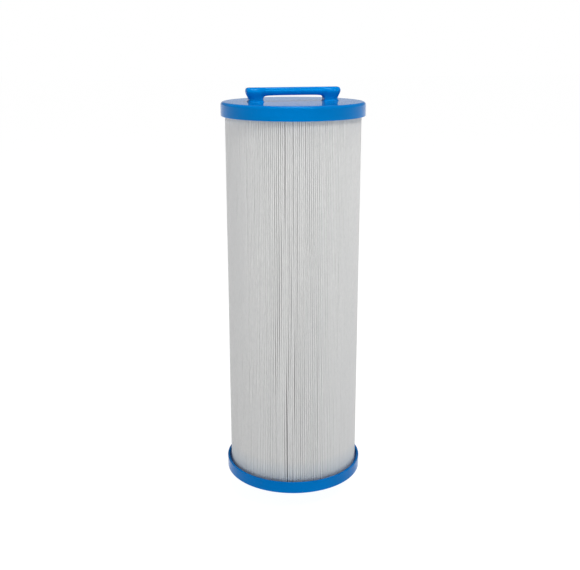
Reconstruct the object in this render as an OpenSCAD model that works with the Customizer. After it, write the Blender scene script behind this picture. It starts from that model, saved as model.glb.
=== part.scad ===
// Pleated spa filter cartridge: a handle on top, a male pipe thread below.
// Millimetres, +Z up. The origin is on the axis, at the end of the thread.

/* [Caps] */
// Outer diameter of both end caps
cap_d = 125; // [123.5:0.5:130]
// Distance from the underside of the bottom cap to the top face of the top cap
body_h = 341; // [335:1:500]
// Height of the top cap's skirt, its top plate included
top_cap_h = 12; // [10:0.5:20]
// Height of the bottom cap's skirt, its floor included
bottom_cap_h = 10.8; // [10:0.2:20]
// Thickness of a cap's plate
cap_plate = 3; // [2.5:0.5:4]
// Thickness of a cap's skirt
skirt_t = 2; // [1.5:0.1:2.2]
// Rounding of the top cap's outer edge
top_edge_r = 2.6; // [1:0.1:2.8]
// Rounding of the bottom cap's outer edge
bottom_edge_r = 1.2; // [0.6:0.1:2]
// Thickness of the resin layer that holds the pleats in each cap
potting_t = 5; // [4:0.5:6]

/* [Media] */
// Diameter over the pleat tips
media_d = 117.8; // [112:0.2:119]
// Number of pleats
pleats = 216; // [120:4:220]
// Thickness of the folded sheet
sheet_t = 0.35; // [0.25:0.05:0.38]

/* [Core] */
// Outer diameter of the perforated core
core_d = 60; // [56:1:60]
// Wall thickness of the core
core_wall = 3; // [2.5:0.5:3]
// Rows of windows in a section
window_rows = 7; // [5:1:8]
// Windows around a row
windows_round = 12; // [8:2:14]

/* [Thread] */
// Diameter over the thread's crests
thread_d = 48.2; // [46:0.1:48.4]
// Axial distance from crest to crest
thread_pitch = 2.21; // [2:0.01:2.5]
// Radial depth of the thread
thread_depth = 1.3; // [1:0.1:1.5]
// Number of thread crests
thread_crests = 8; // [6:1:8]
// How far the threaded nipple stands below the bottom cap
nipple_drop = 20; // [20:1:30]
// Bore of the nipple
nipple_bore_d = 39; // [36:1:40]
// Diameter of the flange that holds the nipple inside the bottom cap
flange_d = 72; // [68:1:80]

/* [Handle] */
// Length of the handle over its widest part
handle_l = 82.4; // [80:0.1:90]
// Height of the handle above the top cap
handle_h = 11.9; // [11:0.1:16]
// Height of the gap under the grip bar
gap_h = 5.2; // [4.5:0.1:7]
// Length of the gap under the grip bar
gap_l = 53.8; // [50:0.1:56]
// Depth of a handle post, front to back
post_depth = 13; // [11:0.5:14]
// Depth of the grip bar, front to back
bar_depth = 9.2; // [8:0.1:10]
// How far a post's outer face leans in towards its foot
post_lean = 2.2; // [1:0.1:3]

/* [Hidden] */

$fn = 96;
eps = 0.01;
fit_gap = 0.1;

// Heights, from the bottom up.
z_seat = nipple_drop;
z_floor = z_seat + cap_plate;
z_media_low = z_floor + potting_t;
z_top = z_seat + body_h;
z_ceiling = z_top - cap_plate;
z_media_high = z_ceiling - potting_t;

// Caps.
cap_r = cap_d / 2;
skirt_ir = cap_r - skirt_t;

// Thread adapter.
thread_r = thread_d / 2;
thread_flat = 0.5;
crest_half = thread_pitch / 2 - 0.25;
thread_start = 1.4;
flange_t = 3;
flange_notches = 6;
flange_notch_r = 4;
collar_h = 5;
collar_wall = 2.5;
tube_r = 22;
z_flange = z_floor + flange_t;

// Core. Each section ends in a spigot that enters the next section or the plug.
core_sections = 4;
core_r = core_d / 2;
core_ir = core_r - core_wall;
spigot_h = 5;
spigot_wall = 2;
plug_t = 3;
z_core_low = z_flange;
z_core_high = z_ceiling - plug_t - spigot_h;
section_h = (z_core_high - z_core_low) / core_sections;
end_ring = 5;
window_pitch = (section_h - 2 * end_ring) / window_rows;
window_h = window_pitch * 0.72;
window_w = 2 * PI * core_r / windows_round * 0.66;

// Pleats. Widths are measured along the arc.
tip_r = media_d / 2;
fold_r = core_r + 1;
tip_pitch = 2 * PI * tip_r / pleats;
fold_pitch = 2 * PI * fold_r / pleats;
tip_half = tip_pitch / 2 - 0.24;
fold_slit = 0.05;
seam_angle = 90;
seam_depth = 8;

// Handle.
post_top_r = 3;
gap_corner_r = 3;
tenon_l = 6;
tenon_w = 8;
tenon_x = 36;
tenon_head = 1.5;
anchor_t = 1.6;

// A ring between two radii, standing on z = 0.
module ring(outer, inner, h) {
    difference() {
        cylinder(r = outer, h = h);
        translate([0, 0, -1]) cylinder(r = inner, h = h + 2);
    }
}

// Half outline of a cup: a plate with a skirt, seen in the XZ half plane, its plate at the bottom.
module cup_outline(h, edge_r) {
    difference() {
        union() {
            translate([0, edge_r]) square([cap_r, h - edge_r]);
            square([cap_r - edge_r, edge_r + eps]);
            translate([cap_r - edge_r, edge_r]) circle(r = edge_r, $fn = 48);
        }
        translate([0, cap_plate]) square([skirt_ir, h]);
        translate([-cap_r, -1]) square([cap_r, h + 2]);
    }
}

// One foot of the handle below the cap's top face: a tenon with a wider head under the plate.
module handle_foot() {
    head_l = tenon_l + tenon_head;
    head_w = tenon_w + 2 * tenon_head;
    translate([-tenon_l / 2, -tenon_w / 2, z_ceiling - eps])
        cube([tenon_l, tenon_w, cap_plate + 2 * eps]);
    translate([-head_l / 2, -head_w / 2, z_ceiling - anchor_t])
        cube([head_l, head_w, anchor_t]);
}

module handle_feet() {
    for (side = [-1, 1]) translate([side * tenon_x, 0, 0]) handle_foot();
}

module bottom_end_cap() {
    color([0.0, 0.44, 0.76])
    difference() {
        translate([0, 0, z_seat]) rotate_extrude() cup_outline(bottom_cap_h, bottom_edge_r);
        translate([0, 0, z_seat - 1]) cylinder(r = thread_r + fit_gap, h = cap_plate + 2);
    }
}

module flange_outline() {
    difference() {
        circle(d = flange_d);
        for (i = [0 : flange_notches - 1]) rotate(i * 360 / flange_notches)
            translate([flange_d / 2, 0]) circle(r = flange_notch_r, $fn = 32);
    }
}

// Half outline of the nipple, with ridges for the thread. The neck above them passes through the cap's hole.
module nipple_outline() {
    root_r = thread_r - thread_depth;
    neck_r = thread_r - 0.6;
    thread_top = thread_start + thread_crests * thread_pitch;
    inner_r = nipple_bore_d / 2;
    polygon(concat(
        [[inner_r, 0], [root_r - 0.6, 0], [root_r, 0.6], [root_r, thread_start]],
        [for (i = [0 : thread_crests - 1], p = [
            [root_r, 0],
            [thread_r, crest_half - thread_flat / 2],
            [thread_r, crest_half + thread_flat / 2],
            [root_r, 2 * crest_half]
        ]) [p[0], thread_start + i * thread_pitch + p[1]]],
        [[root_r, thread_top], [neck_r, thread_top], [neck_r, z_floor + eps], [inner_r, z_floor + eps]]
    ));
}

// The nipple's tube runs on through the flange, inside a collar that centres the core.
module thread_adapter() {
    collar_r = core_ir - fit_gap;
    color([0.0, 0.42, 0.74])
    difference() {
        union() {
            rotate_extrude() nipple_outline();
            translate([0, 0, z_floor]) linear_extrude(flange_t) flange_outline();
            translate([0, 0, z_flange - eps]) cylinder(r = tube_r, h = collar_h + eps);
            translate([0, 0, z_flange - eps])
                ring(collar_r, collar_r - collar_wall, collar_h + eps);
        }
        translate([0, 0, -1]) cylinder(d = nipple_bore_d, h = z_flange + collar_h + 2);
    }
}

module bottom_potting() {
    color([0.04, 0.36, 0.66]) {
        translate([0, 0, z_floor]) linear_extrude(flange_t) difference() {
            circle(r = skirt_ir);
            flange_outline();
        }
        translate([0, 0, z_flange]) ring(skirt_ir, core_r, potting_t - flange_t);
    }
}

module core_windows() {
    for (row = [0 : window_rows - 1], i = [0 : windows_round / 2 - 1])
        translate([0, 0, end_ring + (row + 0.5) * window_pitch])
            rotate(i * 360 / windows_round + (row % 2) * 180 / windows_round)
                cube([2 * core_r + 2, window_w, window_h], center = true);
}

module core_section(index) {
    color([0.93, 0.94, 0.95])
    translate([0, 0, z_core_low + (index - 1) * section_h]) {
        difference() {
            union() {
                ring(core_r, core_ir, section_h);
                translate([0, 0, section_h - end_ring])
                    ring(core_ir + eps, core_ir - fit_gap - spigot_wall, end_ring);
                translate([0, 0, section_h - eps])
                    ring(core_ir - fit_gap, core_ir - fit_gap - spigot_wall, spigot_h);
            }
            core_windows();
        }
    }
}

module core_top_plug() {
    color([0.9, 0.91, 0.92])
    translate([0, 0, z_core_high]) difference() {
        cylinder(r = core_r, h = spigot_h + plug_t);
        translate([0, 0, -1]) cylinder(r = core_ir, h = spigot_h + 1);
    }
}

// A point of the folded sheet's outline: radius, pleat number and a distance along the arc.
function sheet_point(r, pleat, along) =
    let (a = seam_angle + pleat * 360 / pleats + along / r * 180 / PI) [r * cos(a), r * sin(a)];

// One face of the sheet: from the seam over every fold back to the seam.
function sheet_face(outer_r, outer_half, inner_r, inner_half) = concat(
    [sheet_point(tip_r, 0, outer_half)],
    [for (k = [0 : pleats - 1], p = [
        [inner_r, k + 0.5, -inner_half],
        [inner_r, k + 0.5, inner_half],
        [outer_r, k + 1, -outer_half],
        [outer_r, k + 1, outer_half]
    ]) if (!(k == pleats - 1 && p[1] == k + 1)) sheet_point(p[0], p[1], p[2])],
    [sheet_point(tip_r, pleats, -outer_half)]
);

function backwards(list) = [for (i = [len(list) - 1 : -1 : 0]) list[i]];

module pleated_media() {
    outside = sheet_face(tip_r, tip_half, fold_r + sheet_t, fold_slit);
    inside = sheet_face(tip_r - sheet_t, tip_half - sheet_t, fold_r, fold_pitch / 2 - fold_slit);
    color([0.9, 0.9, 0.89])
    translate([0, 0, z_media_low]) linear_extrude(z_media_high - z_media_low)
        polygon(concat(outside, backwards(inside)));
}

// The bead that bonds the two free edges of the sheet inside the pleat at the back.
module media_seam_bead() {
    slit = tip_half - sheet_t - 0.03;
    deep_slit = slit * 0.7;
    color([0.82, 0.83, 0.84])
    translate([0, 0, z_media_low]) rotate(seam_angle) linear_extrude(z_media_high - z_media_low)
        polygon([
            [tip_r - seam_depth, -deep_slit], [tip_r, -slit],
            [tip_r, slit], [tip_r - seam_depth, deep_slit]
        ]);
}

module top_potting() {
    color([0.04, 0.36, 0.66])
    difference() {
        translate([0, 0, z_media_high]) ring(skirt_ir, core_r, potting_t);
        handle_feet();
    }
}

module top_end_cap() {
    color([0.0, 0.47, 0.8])
    difference() {
        translate([0, 0, z_top]) mirror([0, 0, 1]) rotate_extrude() cup_outline(top_cap_h, top_edge_r);
        intersection() {
            handle_feet();
            translate([0, 0, z_ceiling - eps]) cylinder(r = cap_r, h = cap_plate + 1);
        }
    }
}

// Front view of the handle, standing on y = 0: leaning posts under a bar with round ends.
module handle_front() {
    half = handle_l / 2;
    waist = half - post_lean;
    shoulder = handle_h - post_top_r;
    difference() {
        union() {
            polygon([
                [-waist, 0], [waist, 0], [half - 0.05, shoulder], [half - post_top_r, handle_h],
                [post_top_r - half, handle_h], [0.05 - half, shoulder]
            ]);
            for (side = [-1, 1])
                translate([side * (half - post_top_r), shoulder]) circle(r = post_top_r, $fn = 48);
        }
        translate([-gap_l / 2, -1]) square([gap_l, gap_h - gap_corner_r + 1]);
        translate([gap_corner_r - gap_l / 2, 0]) square([gap_l - 2 * gap_corner_r, gap_h]);
        for (side = [-1, 1])
            translate([side * (gap_l / 2 - gap_corner_r), gap_h - gap_corner_r])
                circle(r = gap_corner_r, $fn = 48);
    }
}

// Plan of the handle: two deep posts with round corners, joined by a slimmer bar.
module handle_plan() {
    corner = 4;
    post_in = gap_l / 2 - 1;
    square([handle_l - 2 * corner, bar_depth], center = true);
    for (side = [-1, 1]) translate([side * (handle_l / 2 + post_in) / 2, 0]) {
        length = handle_l / 2 - post_in;
        square([length - 2 * corner, post_depth], center = true);
        square([length, post_depth - 2 * corner], center = true);
        for (x = [-1, 1], y = [-1, 1])
            translate([x * (length / 2 - corner), y * (post_depth / 2 - corner)])
                circle(r = corner, $fn = 48);
    }
}

// End view of the handle, standing on y = 0, with its top edges rounded.
module handle_end() {
    edge = 3.4;
    translate([-post_depth / 2, 0]) square([post_depth, handle_h - edge]);
    translate([edge - post_depth / 2, 0]) square([post_depth - 2 * edge, handle_h]);
    for (side = [-1, 1])
        translate([side * (post_depth / 2 - edge), handle_h - edge]) circle(r = edge, $fn = 48);
}

module handle() {
    color([0.0, 0.45, 0.8]) {
        intersection() {
            translate([0, handle_l / 2, z_top]) rotate([90, 0, 0])
                linear_extrude(handle_l) handle_front();
            translate([0, 0, z_top]) linear_extrude(handle_h) handle_plan();
            translate([-handle_l / 2, 0, z_top]) rotate([90, 0, 90])
                linear_extrude(handle_l) handle_end();
        }
        handle_feet();
    }
}

bottom_end_cap();
thread_adapter();
bottom_potting();
core_section(1);  // core_section_1
core_section(2);  // core_section_2
core_section(3);  // core_section_3
core_section(4);  // core_section_4
core_top_plug();
pleated_media();
media_seam_bead();
top_potting();
top_end_cap();
handle();
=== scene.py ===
import math

import bmesh
import bpy
import numpy as np
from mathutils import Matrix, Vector


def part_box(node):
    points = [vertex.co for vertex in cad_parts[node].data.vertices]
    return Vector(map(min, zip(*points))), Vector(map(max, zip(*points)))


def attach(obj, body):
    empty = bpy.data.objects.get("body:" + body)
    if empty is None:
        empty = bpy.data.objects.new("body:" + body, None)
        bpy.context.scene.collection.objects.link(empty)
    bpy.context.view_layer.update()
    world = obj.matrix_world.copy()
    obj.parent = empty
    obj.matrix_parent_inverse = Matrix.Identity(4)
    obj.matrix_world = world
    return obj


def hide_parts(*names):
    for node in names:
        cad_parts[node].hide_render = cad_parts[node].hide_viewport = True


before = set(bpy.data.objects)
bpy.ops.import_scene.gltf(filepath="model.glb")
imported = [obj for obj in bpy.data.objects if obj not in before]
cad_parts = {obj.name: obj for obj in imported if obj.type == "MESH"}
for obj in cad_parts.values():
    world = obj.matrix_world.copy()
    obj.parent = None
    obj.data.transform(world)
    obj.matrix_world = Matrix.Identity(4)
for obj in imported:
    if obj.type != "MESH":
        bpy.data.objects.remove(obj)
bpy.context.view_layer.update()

MM = 0.001

# The CAD pieces' boxes, that everything below is worked out from, in metres.
TOP_CAP_LOW, TOP_CAP_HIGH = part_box("top_end_cap")
BOTTOM_CAP_LOW, BOTTOM_CAP_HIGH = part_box("bottom_end_cap")
MEDIA_LOW, MEDIA_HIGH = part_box("pleated_media")
POTTING_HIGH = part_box("bottom_potting")[1]
ADAPTER_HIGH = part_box("thread_adapter")[1]
HANDLE_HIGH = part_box("handle")[1]
BEAD_LOW, BEAD_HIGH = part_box("media_seam_bead")
CORE_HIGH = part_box("core_section_1")[1]

CAP_R = TOP_CAP_HIGH.x
SKIRT_INNER_R = POTTING_HIGH.x
PLATE_THICK = 3 * MM  # both caps' end plates
PLATE_TOP = BOTTOM_CAP_LOW.z + PLATE_THICK
FACE_Z = TOP_CAP_HIGH.z  # the top cap's face, that the handle stands on


# ---------------------------------------------------------------- camera, floor and light

LIT_POINT = (0, 0, 0.33)  # on the cartridge's axis, that every softbox is turned towards


def add_camera():
    """A normal lens a little above the handle, looking down at the whole cartridge."""
    azimuth, pitch = math.radians(-14.0), math.radians(15.74)  # left of the front, and downwards
    distance, height = 0.7649, 0.4124  # from the cartridge's axis, and above the floor
    data = bpy.data.cameras.new("main_camera")
    data.sensor_width = 36.0
    data.lens = 54.18
    data.shift_x = -0.0055
    data.clip_start = 0.02
    camera = bpy.data.objects.new("main_camera", data)
    camera.location = (distance * math.sin(azimuth), -distance * math.cos(azimuth), height)
    camera.rotation_euler = (math.pi / 2 - pitch, 0, azimuth)
    bpy.context.scene.collection.objects.link(camera)
    bpy.context.scene.camera = camera


def add_light(name, place, width, height, power):
    """A softbox at place, turned towards LIT_POINT."""
    data = bpy.data.lights.new(name, "AREA")
    data.shape = "RECTANGLE"
    data.size, data.size_y = width, height
    data.energy = power
    light = bpy.data.objects.new(name, data)
    light.location = place
    aim = Vector(LIT_POINT) - Vector(place)
    light.rotation_euler = aim.to_track_quat("-Z", "Y").to_euler()
    bpy.context.scene.collection.objects.link(light)


def add_world():
    """A white backdrop along the horizon, with a dimmer room above that darkens upwards."""
    world = bpy.data.worlds.new("studio")
    bpy.context.scene.world = world
    world.use_nodes = True
    tree = world.node_tree
    background = tree.nodes["Background"]
    background.inputs["Color"].default_value = (1, 1, 1, 1)
    direction = make(tree, "TexCoord", {})
    height = make(tree, "SeparateXYZ", {"Vector": direction.outputs["Generated"]})
    backdrop = ramp(tree, height.outputs["Z"], 0.045, 0.058, 1.0, 0.0)
    room = ramp(tree, height.outputs["Z"], 0.08, 0.22, 0.51, 0.17)
    tree.links.new(calculate(tree, "MAXIMUM", backdrop, room), background.inputs["Strength"])


def add_floor():
    """A wide plain floor that gives off light like a light table, so it is white all over.

    Most of its brightness is its own, so the cartridge casts almost no shadow on it.
    """
    size = 9.0
    corners = [(-size, -size, 0), (size, -size, 0), (size, size, 0), (-size, size, 0)]
    floor = mesh_object("studio_floor", corners, [(0, 1, 2, 3)])
    material, _, shader = new_material("floor_white")
    shader.inputs["Base Color"].default_value = (0.15, 0.15, 0.15, 1)
    shader.inputs["Roughness"].default_value = 0.9
    shader.inputs["Specular IOR Level"].default_value = 0.0
    shader.inputs["Emission Color"].default_value = (1, 1, 1, 1)
    shader.inputs["Emission Strength"].default_value = 0.97
    floor.data.materials.append(material)


# ---------------------------------------------------------------- mesh helpers

def mesh_object(name, vertices, faces, sharp_angle=35.0):
    """A smooth shaded object from points and faces, with its edges sharp past sharp_angle degrees."""
    mesh = bpy.data.meshes.new(name)
    mesh.from_pydata([tuple(v) for v in vertices], [], faces)
    mesh.validate()
    bm = bmesh.new()
    bm.from_mesh(mesh)
    bmesh.ops.remove_doubles(bm, verts=bm.verts, dist=1e-7)
    bmesh.ops.recalc_face_normals(bm, faces=bm.faces)
    bm.to_mesh(mesh)
    bm.free()
    mesh.shade_smooth()
    mesh.set_sharp_from_angle(angle=math.radians(sharp_angle))
    made = bpy.data.objects.new(name, mesh)
    bpy.context.scene.collection.objects.link(made)
    return made


def arc(centre, radius, start, end, steps):
    """Points on an arc in a half plane, from start to end degrees."""
    angles = np.radians(np.linspace(start, end, steps + 1))
    return [(centre[0] + radius * math.cos(a), centre[1] + radius * math.sin(a)) for a in angles]


def bands(count, around, wrap=False):
    """Faces between count rings of points. wrap joins the last ring to the first, as round a hole."""
    faces = []
    for i in range(count if wrap else count - 1):
        a, b = i * around, (i + 1) % count * around
        faces += [(a + j, a + (j + 1) % around, b + (j + 1) % around, b + j) for j in range(around)]
    return faces


def ring(radii, turn, z):
    """Points at height z, round the Z axis. radii is one radius, or one for each angle of turn."""
    radii = np.broadcast_to(radii, turn.shape)
    return [(r * math.cos(a), r * math.sin(a), z) for r, a in zip(radii, turn)]


def skin(name, rings, wrap):
    """Skins rings of equal length."""
    rings = np.asarray(rings, float)
    return mesh_object(name, rings.reshape(-1, 3), bands(*rings.shape[:2], wrap))


def lathe(name, outline, wrap, around=256):
    """Turns an outline of (radius, height) points about the Z axis."""
    turn = np.linspace(0, 2 * math.pi, around, endpoint=False)
    return skin(name, [ring(r, turn, z) for r, z in outline], wrap)


# ---------------------------------------------------------------- material helpers

def make(tree, kind, inputs, **settings):
    """Adds a shader node. Each input is a value, or the socket that feeds it."""
    node = tree.nodes.new("ShaderNode" + kind)
    for name, value in settings.items():
        setattr(node, name, value)
    for name, value in inputs.items():
        socket = node.inputs[name]
        if isinstance(value, bpy.types.NodeSocket):
            tree.links.new(value, socket)
        else:
            socket.default_value = value
    return node


def new_material(name):
    """A new material, with its node tree and its shader."""
    material = bpy.data.materials.new(name)
    material.use_nodes = True
    tree = material.node_tree
    return material, tree, tree.nodes["Principled BSDF"]


def object_place(tree):
    """Where a point lies on its piece, in metres."""
    return make(tree, "TexCoord", {}).outputs["Object"]


def noise(tree, place, scale, detail=3.0, stretch=None, turn=(0, 0, 0), roughness=0.5):
    """Grey noise, with about one blob every 1 / scale metres. stretch scales it along each axis."""
    if stretch:
        mapping = make(tree, "Mapping", {"Vector": place, "Scale": stretch, "Rotation": turn})
        place = mapping.outputs[0]
    return make(tree, "TexNoise", {
        "Vector": place, "Scale": scale, "Detail": detail, "Roughness": roughness,
    }).outputs["Fac"]


def ramp(tree, value, low, high, to_low=0.0, to_high=1.0):
    """Takes value from low..high to to_low..to_high, held at both ends."""
    return make(tree, "MapRange", {
        "Value": value, "From Min": low, "From Max": high, "To Min": to_low, "To Max": to_high,
    }).outputs["Result"]


def calculate(tree, operation, a, b):
    """One Math node. a and b are numbers or sockets."""
    return make(tree, "Math", {0: a, 1: b}, operation=operation).outputs[0]


def mix(tree, share, a, b):
    """Colour a, with colour b mixed in by share. The Mix node has its colour sockets at 6 and 7."""
    node = make(tree, "Mix", {}, data_type="RGBA", blend_type="MIX")
    for index, value in ((0, share), (6, a), (7, b)):
        if isinstance(value, bpy.types.NodeSocket):
            tree.links.new(value, node.inputs[index])
        else:
            node.inputs[index].default_value = value
    return node.outputs[2]


def bump(tree, height, strength, distance, below=None):
    """Relief of distance metres from a grey height, on top of the relief below it."""
    inputs = {"Height": height, "Strength": strength, "Distance": distance}
    if below:
        inputs["Normal"] = below
    return make(tree, "Bump", inputs).outputs["Normal"]


def shade(colour, factor):
    """colour times factor, opaque."""
    return (colour[0] * factor, colour[1] * factor, colour[2] * factor, 1.0)


# ---------------------------------------------------------------- materials

BLUE_SHINE = (0.0, 0.6, 1.0, 1.0)  # tint of the blue mouldings' reflections


def moulded_plastic(name, colour, gloss=0.12, index=1.25):
    """Glossy moulded plastic: flow marks, orange peel, fine scratches, pale specks and worn edges."""
    material, tree, shader = new_material(name)
    place = object_place(tree)
    flow = noise(tree, place, 26.0, detail=2.0, stretch=(1, 1, 2.5))
    mottle = noise(tree, place, 420.0, detail=4.0)
    grain = noise(tree, place, 2600.0, detail=2.0)
    one_way = noise(tree, place, 60.0, detail=5.0, roughness=0.7,
                    stretch=(1, 22, 5), turn=(0, 0, 0.5))
    other_way = noise(tree, place, 60.0, detail=5.0, roughness=0.7,
                      stretch=(20, 1, 6), turn=(0, 0.2, -0.4))
    scratches = calculate(tree, "MAXIMUM",
                          ramp(tree, one_way, 0.655, 0.69), ramp(tree, other_way, 0.66, 0.70))
    specks = make(tree, "TexVoronoi", {"Vector": place, "Scale": 70.0, "Randomness": 1.0})
    speck = ramp(tree, specks.outputs["Distance"], 0.05, 0.03)
    edge = make(tree, "NewGeometry", {}).outputs["Pointiness"]
    worn = calculate(tree, "MULTIPLY", ramp(tree, edge, 0.52, 0.60), ramp(tree, mottle, 0.42, 0.62))

    deep = mix(tree, ramp(tree, flow, 0.35, 0.65), shade(colour, 0.92), shade(colour, 1.05))
    fine = mix(tree, ramp(tree, mottle, 0.35, 0.7, 0.0, 0.10), deep, shade(colour, 0.78))
    pale = tuple(0.55 * c + 0.45 * 0.8 for c in colour) + (1.0,)
    marked = mix(tree, calculate(tree, "MULTIPLY", speck, 0.30), fine, pale)
    scuffed = mix(tree, calculate(tree, "MULTIPLY", scratches, 0.12), marked, pale)
    rubbed = mix(tree, calculate(tree, "MULTIPLY", worn, 0.22), scuffed, pale)
    tree.links.new(rubbed, shader.inputs["Base Color"])

    rough = ramp(tree, mottle, 0.3, 0.7, gloss - 0.03, gloss + 0.04)
    rougher = calculate(tree, "ADD", rough, calculate(tree, "MULTIPLY", scratches, 0.18))
    tree.links.new(rougher, shader.inputs["Roughness"])
    waves = bump(tree, flow, 0.05, 0.0006)
    peel = bump(tree, grain, 0.06, 0.00006, waves)
    cuts = bump(tree, calculate(tree, "SUBTRACT", 1.0, scratches), 0.15, 0.00004, peel)
    tree.links.new(cuts, shader.inputs["Normal"])
    shader.inputs["IOR"].default_value = index
    shader.inputs["Specular Tint"].default_value = BLUE_SHINE
    return material


def cast_resin(name, colour):
    """Resin as poured: a soft skin with bubbles and a slow uneven surface."""
    material, tree, shader = new_material(name)
    place = object_place(tree)
    pool = noise(tree, place, 90.0, detail=3.0)
    bubbles = make(tree, "TexVoronoi", {"Vector": place, "Scale": 520.0}).outputs["Distance"]
    tone = mix(tree, pool, shade(colour, 0.75), shade(colour, 1.2))
    tree.links.new(tone, shader.inputs["Base Color"])
    tree.links.new(ramp(tree, pool, 0.3, 0.7, 0.32, 0.55), shader.inputs["Roughness"])
    slow = bump(tree, pool, 0.4, 0.0008)
    pitted = bump(tree, ramp(tree, bubbles, 0.12, 0.3), 0.3, 0.0002, slow)
    tree.links.new(pitted, shader.inputs["Normal"])
    return material


def core_plastic(name):
    """Natural white injection moulding: satin, faintly mottled, with a little dust."""
    material, tree, shader = new_material(name)
    place = object_place(tree)
    cloud = noise(tree, place, 60.0, detail=3.0)
    dust = noise(tree, place, 900.0, detail=5.0, roughness=0.65)
    white = mix(tree, cloud, (0.74, 0.76, 0.77, 1), (0.82, 0.83, 0.82, 1))
    dusty = mix(tree, ramp(tree, dust, 0.56, 0.75, 0.0, 0.3), white, (0.6, 0.6, 0.57, 1))
    tree.links.new(dusty, shader.inputs["Base Color"])
    tree.links.new(ramp(tree, cloud, 0.3, 0.7, 0.38, 0.52), shader.inputs["Roughness"])
    tree.links.new(bump(tree, dust, 0.12, 0.0001), shader.inputs["Normal"])
    return material


def filter_fabric(name):
    """Spunbonded polyester: fine crossing fibres in a cloudy web.

    It is painted greyer low down as painted shade, and bluish grey at both ends: resin that has wicked
    in, plus painted shade and painted blue bounce light beside the caps.
    """
    material, tree, shader = new_material(name)
    flat = make(tree, "Attribute", {}, attribute_name="flat").outputs["Vector"]
    place = object_place(tree)
    fibres = None
    for turn, scale in ((0.35, 2600.0), (-0.5, 3100.0), (1.25, 2800.0), (-1.2, 2300.0)):
        strands = noise(tree, flat, scale, detail=1.0, stretch=(1, 0.05, 1), turn=(0, 0, turn))
        strands = ramp(tree, strands, 0.46, 0.68)
        fibres = strands if fibres is None else calculate(tree, "MAXIMUM", fibres, strands)
    cloud = noise(tree, flat, 190.0, detail=4.0, roughness=0.6)
    band = noise(tree, place, 14.0, detail=2.0, stretch=(1, 1, 0.35))

    white = mix(tree, ramp(tree, cloud, 0.3, 0.7), (0.66, 0.665, 0.665, 1), (0.75, 0.75, 0.745, 1))
    woven = mix(tree, calculate(tree, "MULTIPLY", fibres, 0.35), white, (0.86, 0.865, 0.86, 1))
    height = make(tree, "SeparateXYZ", {"Vector": place}).outputs["Z"]
    toned = mix(tree, ramp(tree, band, 0.35, 0.65, 0.0, 0.5), woven, (0.72, 0.725, 0.73, 1))
    # painted shade: the sheet is mixed towards grey over its lowest 200 mm, darker towards the bottom
    painted_low_shade = ramp(tree, height, MEDIA_LOW.z, MEDIA_LOW.z + 200 * MM, 0.25, 0.0)
    toned = mix(tree, painted_low_shade, toned, (0.60, 0.605, 0.61, 1))
    # bluish grey near both ends: resin wicked in, plus painted shade under the top cap and painted
    # blue bounce light above the lower cap
    wick = noise(tree, place, 700.0, detail=3.0, stretch=(1, 1, 0.25))
    ragged = calculate(tree, "MULTIPLY", calculate(tree, "SUBTRACT", wick, 0.5), 0.006)
    uneven = calculate(tree, "ADD", height, ragged)
    low_wick_and_shade = ramp(tree, uneven, MEDIA_LOW.z + 1.5 * MM, MEDIA_LOW.z + 22 * MM, 0.60, 0.0)
    high_wick_and_shade = ramp(tree, uneven, MEDIA_HIGH.z - 8 * MM, MEDIA_HIGH.z - 1.5 * MM, 0.0, 0.45)
    wick_and_shade = calculate(tree, "MAXIMUM", low_wick_and_shade, high_wick_and_shade)
    tree.links.new(mix(tree, wick_and_shade, toned, (0.44, 0.53, 0.62, 1)), shader.inputs["Base Color"])

    shader.inputs["Roughness"].default_value = 0.82
    shader.inputs["Specular IOR Level"].default_value = 0.25
    shader.inputs["Sheen Weight"].default_value = 0.12
    shader.inputs["Sheen Roughness"].default_value = 0.6
    soft = bump(tree, cloud, 0.35, 0.00025)
    tree.links.new(bump(tree, fibres, 0.5, 0.00006, soft), shader.inputs["Normal"])
    return material


def melted_glue(name):
    """A translucent whitish bead with a wavy skin."""
    material, tree, shader = new_material(name)
    place = object_place(tree)
    wave = noise(tree, place, 160.0, detail=3.0)
    milky = mix(tree, wave, (0.55, 0.56, 0.55, 1), (0.72, 0.73, 0.72, 1))
    tree.links.new(milky, shader.inputs["Base Color"])
    tree.links.new(ramp(tree, wave, 0.3, 0.7, 0.22, 0.4), shader.inputs["Roughness"])
    tree.links.new(bump(tree, wave, 0.4, 0.0004), shader.inputs["Normal"])
    return material


# ---------------------------------------------------------------- caps

def cap_outline(start_r, depth, edge_r, lip_r):
    """Outline of a cup cap from its hub over face, skirt and lip and back, its face at height 0."""
    ease = 0.25 * MM  # a point this close to each rounding keeps the flat beside it flat
    fillet = 1.0 * MM
    inner_lip = min(lip_r, (CAP_R - SKIRT_INNER_R) / 2)
    face_width = CAP_R - edge_r - ease - start_r
    points = [(start_r, 0.0)]
    points += [(start_r + face_width * t, 0.0) for t in (0.012, 0.04, 0.35, 0.7, 1.0)]
    points += arc((CAP_R - edge_r, edge_r), edge_r, -90, 0, 10)
    points += [(CAP_R, edge_r + ease), (CAP_R, depth - lip_r - ease)]
    points += arc((CAP_R - lip_r, depth - lip_r), lip_r, 0, 90, 5)
    points += arc((SKIRT_INNER_R + inner_lip, depth - inner_lip), inner_lip, 90, 180, 4)
    points += [(SKIRT_INNER_R, depth - inner_lip - ease)]
    points += arc((SKIRT_INNER_R - fillet, PLATE_THICK + fillet), fillet, 0, -90, 4)
    points += [(r, PLATE_THICK) for r in (SKIRT_INNER_R - fillet - ease, start_r + 1.5 * MM, start_r)]
    return points


def build_top_cap():
    """The closed cap, face up, with a generously rounded edge."""
    outline = cap_outline(0.0, depth=FACE_Z - TOP_CAP_LOW.z, edge_r=2.6 * MM, lip_r=0.7 * MM)
    cap = lathe("top_cap_shell", [(r, FACE_Z - z) for r, z in outline], wrap=False)
    cap.data.materials.append(moulded_plastic("cap_blue_top", (0.0, 0.186, 0.56)))
    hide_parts("top_end_cap")
    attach(cap, "root")


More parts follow.
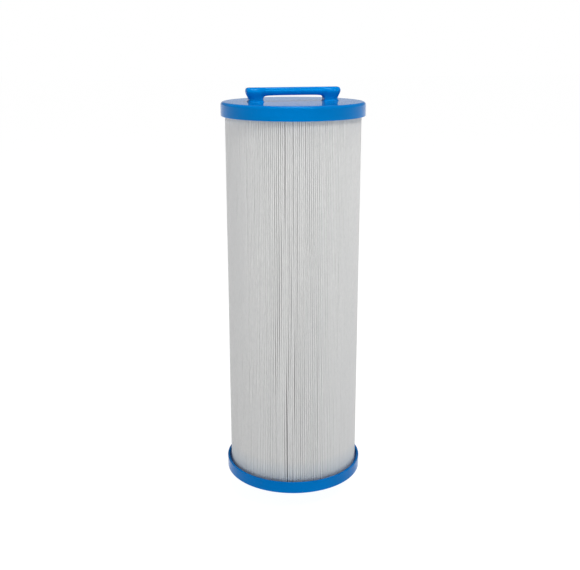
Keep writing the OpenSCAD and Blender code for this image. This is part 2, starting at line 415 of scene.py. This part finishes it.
def build_bottom_cap():
    """The lower cap, face down, with a hole that the threaded nipple goes through."""
    depth = BOTTOM_CAP_HIGH.z - BOTTOM_CAP_LOW.z
    outline = cap_outline(24.2 * MM, depth, edge_r=1.2 * MM, lip_r=0.55 * MM)
    cap = lathe("bottom_cap_shell", [(r, BOTTOM_CAP_LOW.z + z) for r, z in outline], wrap=True)
    # painted shade: the lower cap's blue is set a little darker than the top cap's blue
    cap.data.materials.append(moulded_plastic("cap_blue_bottom_painted_darker", (0.0, 0.165, 0.53), index=1.2))
    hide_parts("bottom_end_cap")
    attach(cap, "root")


# ---------------------------------------------------------------- handle

MIDDLE_STEP = 6  # of the handle's cage, counted along the bar
GAP_LEVEL = 3    # of the cage, where the finger gap's roof is


def handle_point(i, j, k):
    """Where a point of the handle's cage lies: i along the bar, j across it, k up from the face.

    Steps count from either end to the middle: 0 to 4 cross the post, 4 to 6 run along the bar.
    """
    half, height = HANDLE_HIGH.x, HANDLE_HIGH.z - FACE_Z
    gap_half, gap_top = 26.9 * MM, 5.2 * MM
    bar = 4.6 * MM  # half the bar's depth
    outer = (half - 1.0 * MM, half - 1.8 * MM, half - 2.3 * MM, half - 0.9 * MM,
             half + 0.1 * MM, half + 0.6 * MM, half - 0.3 * MM)[k]
    inner = gap_half - (0.9, 0.3, 0, 0, 0, 0, 0)[k] * MM
    side = -1 if i < MIDDLE_STEP else 1
    step = min(i, 2 * MIDDLE_STEP - i)
    corner = step == 4 and k == GAP_LEVEL
    along = (outer, outer - 3.4 * MM, inner + 6.4 * MM, inner + 2.4 * MM,
             inner - 0.9 * MM * corner, inner - 3.6 * MM, 0.0)[step]
    post = (7.1, 6.5, 6.2, 6.4, 6.8, 6.9, 6.5)[k] * MM
    depth = (post * 0.60, post * 0.93, post, post * 0.94, (post + bar) * 0.42, bar, bar)[step]
    rounded = (1.0, 1.0, 1.0, 0.74 if step > 3 else 1.0, 1.0, 0.96, 0.58)[k]
    across = (-1.0, -0.42, 0.42, 1.0)[j] * depth * rounded
    up = (0.0, 0.9 * MM, 2.6 * MM, gap_top - 0.8 * MM * corner, gap_top + 1.9 * MM,
          height - 2.7 * MM, height)[k]
    return (side * along, across, FACE_Z + up)


def build_handle():
    """Two leaning posts under a rounded bar: a cage of boxes, rounded by subdivision."""
    along, across, up, post_cells = 2 * MIDDLE_STEP, 3, 6, 4
    cells = {
        (i, j, k) for i in range(along) for j in range(across) for k in range(up)
        if i < post_cells or i >= along - post_cells or k >= GAP_LEVEL
    }
    walls = {
        (-1, 0, 0): ((0, 0, 0), (0, 0, 1), (0, 1, 1), (0, 1, 0)),
        (1, 0, 0): ((1, 0, 0), (1, 1, 0), (1, 1, 1), (1, 0, 1)),
        (0, -1, 0): ((0, 0, 0), (1, 0, 0), (1, 0, 1), (0, 0, 1)),
        (0, 1, 0): ((0, 1, 0), (0, 1, 1), (1, 1, 1), (1, 1, 0)),
        (0, 0, -1): ((0, 0, 0), (0, 1, 0), (1, 1, 0), (1, 0, 0)),
        (0, 0, 1): ((0, 0, 1), (1, 0, 1), (1, 1, 1), (0, 1, 1)),
    }
    index, points, faces = {}, [], []
    for cell in sorted(cells):
        for step, corners in walls.items():
            if tuple(a + b for a, b in zip(cell, step)) in cells:
                continue
            face = []
            for corner in corners:
                key = tuple(a + b for a, b in zip(cell, corner))
                if key not in index:
                    index[key] = len(points)
                    points.append(handle_point(*key))
                face.append(index[key])
            faces.append(face)
    handle = mesh_object("grip_handle", points, faces, sharp_angle=180.0)
    bm = bmesh.new()
    bm.from_mesh(handle.data)
    # The edges round the posts' feet stay sharp, so that the feet sit flat on the cap.
    crease = bm.edges.layers.float.new("crease_edge")
    for edge in bm.edges:
        low = all(v.co.z < FACE_Z + 1e-6 for v in edge.verts)
        if low and len({round(f.normal.z, 1) for f in edge.link_faces}) > 1:
            edge[crease] = 1.0
    bm.to_mesh(handle.data)
    bm.free()
    rounding = handle.modifiers.new("rounding", "SUBSURF")
    rounding.levels = rounding.render_levels = 4
    handle.data.materials.append(moulded_plastic("handle_blue", (0.0, 0.212, 0.63), gloss=0.16))
    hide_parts("handle")
    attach(handle, "root")


# ---------------------------------------------------------------- pleats

PLEATS = 216
SHEET = 0.35 * MM           # thickness
TIP_HALF = 0.75 * MM        # half a fold's width at its tip
SEAM_ANGLE = math.pi / 2    # at the back
CROWDED_PLEAT = 97          # the middle of a stretch of more uneven pleats, a little left of the front
CROWDED_SPREAD = 5.5        # pleats


def smooth_noise(rng, heights, z_step, pleats, pleat_step):
    """Random numbers that change smoothly over z_step metres up and over pleat_step pleats round."""
    rows = int((heights[-1] - heights[0]) / z_step) + 3
    columns = max(3, round(PLEATS / pleat_step))
    values = rng.normal(size=(rows, columns))
    zi = (heights - heights[0]) / z_step + 0.5
    ki = pleats * columns / PLEATS
    z0, k0 = np.floor(zi).astype(int), np.floor(ki).astype(int)
    zf, kf = (0.5 - 0.5 * np.cos(math.pi * (x - np.floor(x))) for x in (zi, ki))
    zf, kf = zf[:, None], kf[None, :]

    def at(dz, dk):
        return values[np.ix_((z0 + dz) % rows, (k0 + dk) % columns)]

    low = at(0, 0) * (1 - kf) + at(0, 1) * kf
    high = at(1, 0) * (1 - kf) + at(1, 1) * kf
    return low * (1 - zf) + high * zf


def pleat_rows():
    """Heights of the sheet's rows of points: close together where the ends are pinched in resin."""
    near = np.array([0.0, 1.2, 2.8, 4.8, 7.6, 12.0, 20.0]) * MM
    middle = np.linspace(MEDIA_LOW.z + near[-1], MEDIA_HIGH.z - near[-1], 16)[1:-1]
    return np.concatenate([MEDIA_LOW.z + near, middle, MEDIA_HIGH.z - near[::-1]])


def pleat_tips(heights):
    """Each fold's sideways shift, half width and set-back at each height. Neighbours never cross.

    Near both ends the folds are held by the resin: they wander less, and are pinched narrower.
    """
    rng = np.random.default_rng(11)
    k = np.arange(PLEATS + 1, dtype=float)
    end = np.minimum(heights - heights[0], heights[-1] - heights)[:, None]
    held = np.exp(-end / (14 * MM))
    pinched = np.exp(-end / (6 * MM))
    shift = 0.12 * smooth_noise(rng, heights, 0.17, k, 8.0)
    shift = shift + 0.07 * smooth_noise(rng, heights, 0.11, k, 2.7)
    shift = shift + 0.06 * smooth_noise(rng, heights, 0.07, k, 1.0)
    crowded = 1 + 3.0 * np.exp(-((k - CROWDED_PLEAT) / CROWDED_SPREAD) ** 2)
    shift = shift * MM * (1 - 0.5 * held) * crowded
    half = TIP_HALF * (1 + 0.05 * smooth_noise(rng, heights, 0.09, k, 1.0))
    half = half * (1 - pinched * np.clip(0.16 + 0.12 * rng.normal(size=PLEATS + 1), 0.0, 0.42))
    set_back = 0.22 * MM * np.abs(smooth_noise(rng, heights, 0.12, k, 1.0))
    set_back = np.minimum(set_back * crowded, 0.8 * MM)

    seam = (0, -1)  # the sheet's two free edges, that meet at the glue bead
    half[:, seam] = TIP_HALF * 0.93
    shift[:, seam] = set_back[:, seam] = 0.0
    tip_r = MEDIA_HIGH.x
    pitch = 2 * math.pi * tip_r / PLEATS
    clearance = 0.03 * MM
    for _ in range(60):
        room = pitch + shift[:, 1:] - shift[:, :-1] - half[:, 1:] - half[:, :-1] - clearance
        short = np.minimum(room, 0.0) / 2
        shift[:, :-1] += short
        shift[:, 1:] -= short
        shift[:, seam] = 0.0
    return shift, half, set_back


def sheet_line(shift, half, set_back):
    """Middle line of the sheet at one height: in and out over every fold, from seam to seam."""
    tip_r, fold_r = MEDIA_HIGH.x, CORE_HIGH.x + 1 * MM
    base = fold_r + SHEET / 2
    root_half = 0.225 * MM
    edge_run = 2 * MM  # the straight run at both free edges
    step = 2 * math.pi / PLEATS

    def place(radius, angle, along):
        return (radius * math.cos(angle + along / radius), radius * math.sin(angle + along / radius))

    flank = half[0] - SHEET / 2
    line = [place(tip_r, SEAM_ANGLE, flank), place(tip_r - edge_run, SEAM_ANGLE, flank)]
    for k in range(PLEATS):
        root = SEAM_ANGLE + (k + 0.5) * step
        line += [
            place(base + root_half, root, -root_half),
            place(base, root, 0.0),
            place(base + root_half, root, root_half),
        ]
        if k == PLEATS - 1:
            break
        crown = half[k + 1] - SHEET / 2
        centre = tip_r - set_back[k + 1] - half[k + 1]
        angle = SEAM_ANGLE + (k + 1) * step + shift[k + 1] / tip_r
        line += [
            place(centre + crown * math.cos(a), angle, crown * math.sin(a))
            for a in np.radians((-90.0, -45.0, 0.0, 45.0, 90.0))
        ]
    line += [place(tip_r - edge_run, SEAM_ANGLE, -flank), place(tip_r, SEAM_ANGLE, -flank)]
    return np.array(line)


def sheet_faces_of_line(line):
    """The sheet's two faces: the middle line moved half a thickness to each side."""
    steps = np.diff(line, axis=0)
    across = np.stack([-steps[:, 1], steps[:, 0]], axis=1)
    across /= np.linalg.norm(across, axis=1)[:, None]
    before = np.concatenate([across[:1], across])
    after = np.concatenate([across, across[-1:]])
    middle = before + after
    middle /= np.linalg.norm(middle, axis=1)[:, None]
    spread = np.maximum(np.sum(middle * after, axis=1), 0.6)
    offset = middle * (SHEET / 2 / spread)[:, None]
    return line + offset, line - offset


def build_pleats():
    """One sheet with a real thickness, folded over every pleat and closed along all its edges."""
    heights = pleat_rows()
    shift, half, set_back = pleat_tips(heights)
    rows, flat = [], []
    for row, z in enumerate(heights):
        line = sheet_line(shift[row], half[row], set_back[row])
        one, other = sheet_faces_of_line(line)
        loop = np.concatenate([one, other[::-1]])
        rows.append(np.column_stack([loop, np.full(len(loop), z)]))
        steps = np.linalg.norm(np.diff(line, axis=0), axis=1)
        travel = np.concatenate([[0.0], np.cumsum(steps)])
        travel = np.concatenate([travel, travel[::-1]])
        flat.append(np.column_stack([travel, np.full(len(loop), z), np.zeros(len(loop))]))

    around = len(rows[0])
    faces = bands(len(rows), around)
    top = (len(rows) - 1) * around
    for j in range(around // 2 - 1):
        pair = (j, j + 1, around - 2 - j, around - 1 - j)
        faces.append(tuple(reversed(pair)))
        faces.append(tuple(top + p for p in pair))

    mesh = bpy.data.meshes.new("pleated_sheet")
    mesh.from_pydata(np.concatenate(rows).tolist(), [], faces)
    mesh.shade_smooth()
    mesh.set_sharp_from_angle(angle=math.radians(75))
    places = mesh.attributes.new("flat", "FLOAT_VECTOR", "POINT")
    places.data.foreach_set("vector", np.concatenate(flat).ravel())
    sheet = bpy.data.objects.new("pleated_sheet", mesh)
    bpy.context.scene.collection.objects.link(sheet)
    mesh.materials.append(filter_fabric("media_white"))
    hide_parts("pleated_media")
    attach(sheet, "root")


def build_seam_bead():
    """The glue between the sheet's free edges at the back, squeezed out a little and wavy."""
    rng = np.random.default_rng(5)
    low, high = BEAD_LOW, BEAD_HIGH
    round_y, neck_y = high.y - 0.25 * MM, high.y - 0.4 * MM
    heights = np.linspace(low.z, high.z, 90)
    wave = np.interp(heights, np.linspace(low.z, high.z, 40), rng.normal(size=40))
    rings = []
    for z, w in zip(heights, wave):
        half = (0.235 + 0.012 * w) * MM
        proud = (0.05 + 0.03 * w) * MM
        outline = [(-0.7 * half, low.y), (-half, neck_y)]
        outline += [(half * math.sin(a), round_y + (0.25 * MM + proud) * math.cos(a))
                    for a in np.radians(np.linspace(-80, 80, 9))]
        outline += [(half, neck_y), (0.7 * half, low.y)]
        rings.append([(x, y, z) for x, y in outline])
    count, around = len(rings), len(rings[0])
    points = [point for outline in rings for point in outline]
    faces = bands(count, around)
    faces += [tuple(range(around)), tuple((count - 1) * around + j for j in reversed(range(around)))]
    bead = mesh_object("seam_bead", points, faces, sharp_angle=60.0)
    bead.data.materials.append(melted_glue("seam_white"))
    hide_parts("media_seam_bead")
    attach(bead, "root")


# ---------------------------------------------------------------- threaded nipple

def thread_radius(z, angle, crest_r, depth, pitch, start, end):
    """Radius of a right-hand thread's surface, which rises from and fades back into its root.

    One pitch holds a flat crest, two straight flanks and a flat root.
    """
    phase = (z / pitch - angle / (2 * math.pi)) % 1.0
    flank = min(abs(phase - 0.5) * 2, 1.0)
    shape = min(max((0.86 - flank) / 0.58, 0.0), 1.0)
    fade = min(max((z - start) / pitch, 0.0), 1.0) * min(max((end - z) / pitch, 0.0), 1.0)
    return crest_r - depth + depth * shape * fade


def build_adapter():
    """Threaded nipple, its flange inside the cap and the collar the core stands over, in one skin."""
    crest_r, depth, pitch = 24.1 * MM, 1.3 * MM, 2.21 * MM
    neck_r = crest_r - 0.6 * MM
    bore_r, tube_r = 19.5 * MM, 22.0 * MM
    collar_r, collar_inner = CORE_HIGH.x - 3.1 * MM, CORE_HIGH.x - 5.6 * MM
    flange_low, flange_high, flange_edge = PLATE_TOP, PLATE_TOP + 3 * MM, 0.3 * MM
    start, end = 0.9 * MM, BOTTOM_CAP_LOW.z - 0.2 * MM
    top, bevel, run_in = ADAPTER_HIGH.z, 0.5 * MM, 0.8 * MM
    turn = np.linspace(0, 2 * math.pi, 192, endpoint=False)

    outline = [(bore_r, bevel + run_in), (bore_r, bevel), (bore_r + bevel, 0.0),
               (crest_r - depth - bevel, 0.0)]
    for z in np.linspace(0.5 * MM, end, 150):
        outline.append(([thread_radius(z, a, crest_r, depth, pitch, start, end) for a in turn], z))
    outline += [(neck_r - 0.4 * MM, end + 0.1 * MM), (neck_r, end + 0.5 * MM), (neck_r, flange_low)]
    notched = np.array([ADAPTER_HIGH.x - 3.2 * MM * max(0.0, math.cos(6 * a)) ** 6 for a in turn])
    outline += [(notched - flange_edge, flange_low), (notched, flange_low + flange_edge),
                (notched, flange_high - flange_edge), (notched - flange_edge, flange_high)]
    outline += [(collar_r, flange_high), (collar_r, top - bevel), (collar_r - bevel, top),
                (collar_inner + bevel, top), (collar_inner, top - bevel),
                (collar_inner, flange_high), (tube_r, flange_high), (tube_r, top - bevel),
                (tube_r - bevel, top), (bore_r + bevel, top), (bore_r, top - bevel),
                (bore_r, top - bevel - run_in)]
    rings = [ring(radii, turn, z) for radii, z in outline]
    adapter = skin("threaded_nipple", rings, wrap=True)
    adapter.data.materials.append(moulded_plastic("adapter_blue", (0.0, 0.205, 0.63), gloss=0.24))
    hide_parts("thread_adapter")
    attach(adapter, "root")


def finish_cad_nodes():
    """The inner pieces keep their CAD shape and get their own materials."""
    core = core_plastic("core_white")
    resin = cast_resin("resin_blue", (0.01, 0.09, 0.30))
    for name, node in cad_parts.items():
        if name.startswith("core_"):
            material = core
        elif name.endswith("_potting"):
            material = resin
        else:
            continue
        node.data.materials.clear()
        node.data.materials.append(material)


def set_the_stage():
    """Camera, world, floor and three softboxes, with colours shown as they are."""
    bpy.context.scene.view_settings.view_transform = "Standard"
    add_camera()
    add_world()
    add_floor()
    add_light("key_softbox", (0.30, -1.05, 1.45), width=0.45, height=0.3, power=7.6)
    add_light("spot_softbox", (-0.90, -0.80, 1.15), width=0.3, height=0.12, power=1.8)
    add_light("top_softbox", (0.0, -0.15, 1.5), width=0.6, height=0.5, power=9.5)


set_the_stage()
build_top_cap()
build_bottom_cap()
build_handle()
build_pleats()
build_seam_bead()
build_adapter()
finish_cad_nodes()
